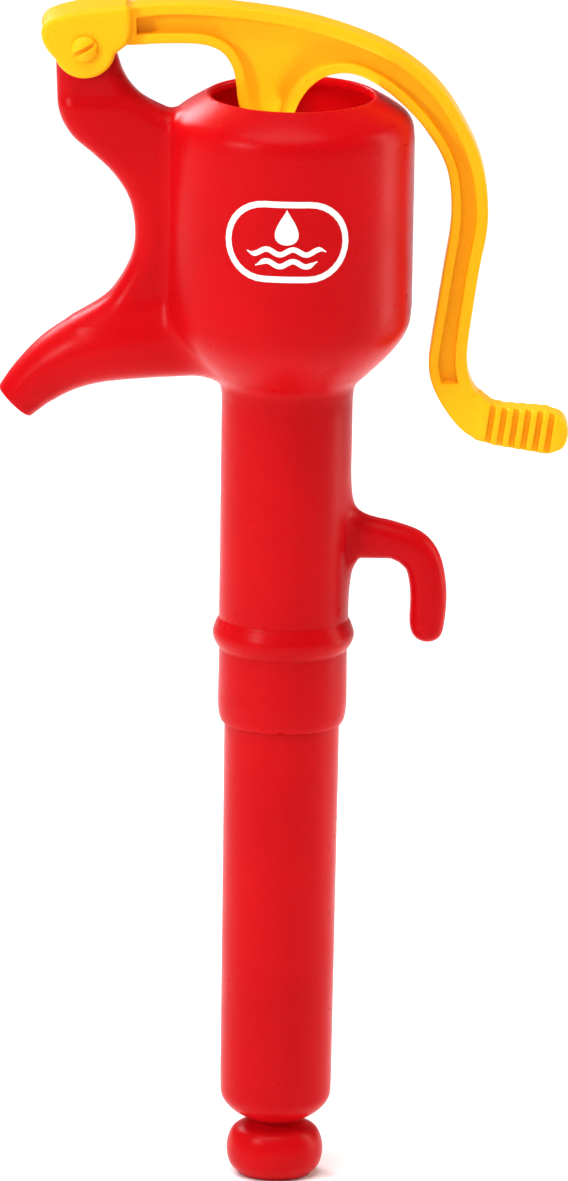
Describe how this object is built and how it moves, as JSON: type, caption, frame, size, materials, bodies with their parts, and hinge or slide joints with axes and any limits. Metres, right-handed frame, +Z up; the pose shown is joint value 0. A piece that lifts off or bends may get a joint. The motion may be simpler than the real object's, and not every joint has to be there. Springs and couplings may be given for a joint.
{
  "type": "hand pitcher pump",
  "caption": "Child's hand water pump: a moulded barrel with horn, spout and hook, a snapped-in suction tube, and a lever that works a valved piston through a slotted clevis.",
  "frame": {"origin": "on the barrel's axis, at the underside of the foot", "axes": "+Z up along the barrel, +X towards the lever's grip and -X towards the spout, +Y through the lever's thickness away from the printed side"},
  "size_m": [0.2357, 0.1018, 0.5],
  "materials": {
    "red_plastic": "gloss",
    "yellow_plastic": "satin",
    "natural_plastic": "satin",
    "black_rubber": "matte",
    "white_print": "satin"
  },
  "bodies": {
    "pump_body": {"upper_body": "red_plastic", "lower_tube": "red_plastic", "socket_seal": "black_rubber", "intake_strainer": "natural_plastic", "ball_seat": "natural_plastic", "ball_stop": "natural_plastic", "pivot_bush": "natural_plastic"},
    "lever_arm": {"lever": "yellow_plastic", "pivot_screw": "yellow_plastic", "pivot_nut": "yellow_plastic", "leg_pin": "natural_plastic", "leg_pin_cap": "natural_plastic"},
    "piston": {"rod_clevis": "natural_plastic", "piston_rod": "natural_plastic", "piston_plate": "natural_plastic", "piston_cup": "black_rubber", "cup_retainer": "natural_plastic", "piston_nut": "natural_plastic"},
    "flap_valve": {"piston_flap": "black_rubber"},
    "foot_valve": {"foot_ball": "black_rubber"}
  },
  "joints": [
    {"name": "lever_lift", "type": "hinge", "parent": "pump_body", "child": "lever_arm", "pos_m": [-0.086, 0, 0.4815], "axis": [0, -1, 0], "range_deg": [0, 52]},
    {"name": "piston_stroke", "type": "slide", "parent": "pump_body", "child": "piston", "axis": [0, 0, 1], "range_m": [0, 0.0785]},
    {"name": "flap_lift", "type": "slide", "parent": "piston", "child": "flap_valve", "axis": [0, 0, 1], "range_m": [0, 0.003]},
    {"name": "ball_lift", "type": "slide", "parent": "pump_body", "child": "foot_valve", "axis": [0, 0, 1], "range_m": [0, 0.008]}
  ],
  "couplings": [
    {"joint": "piston_stroke", "follows": "lever_lift", "m_per_rad": 0.0862}
  ]
}
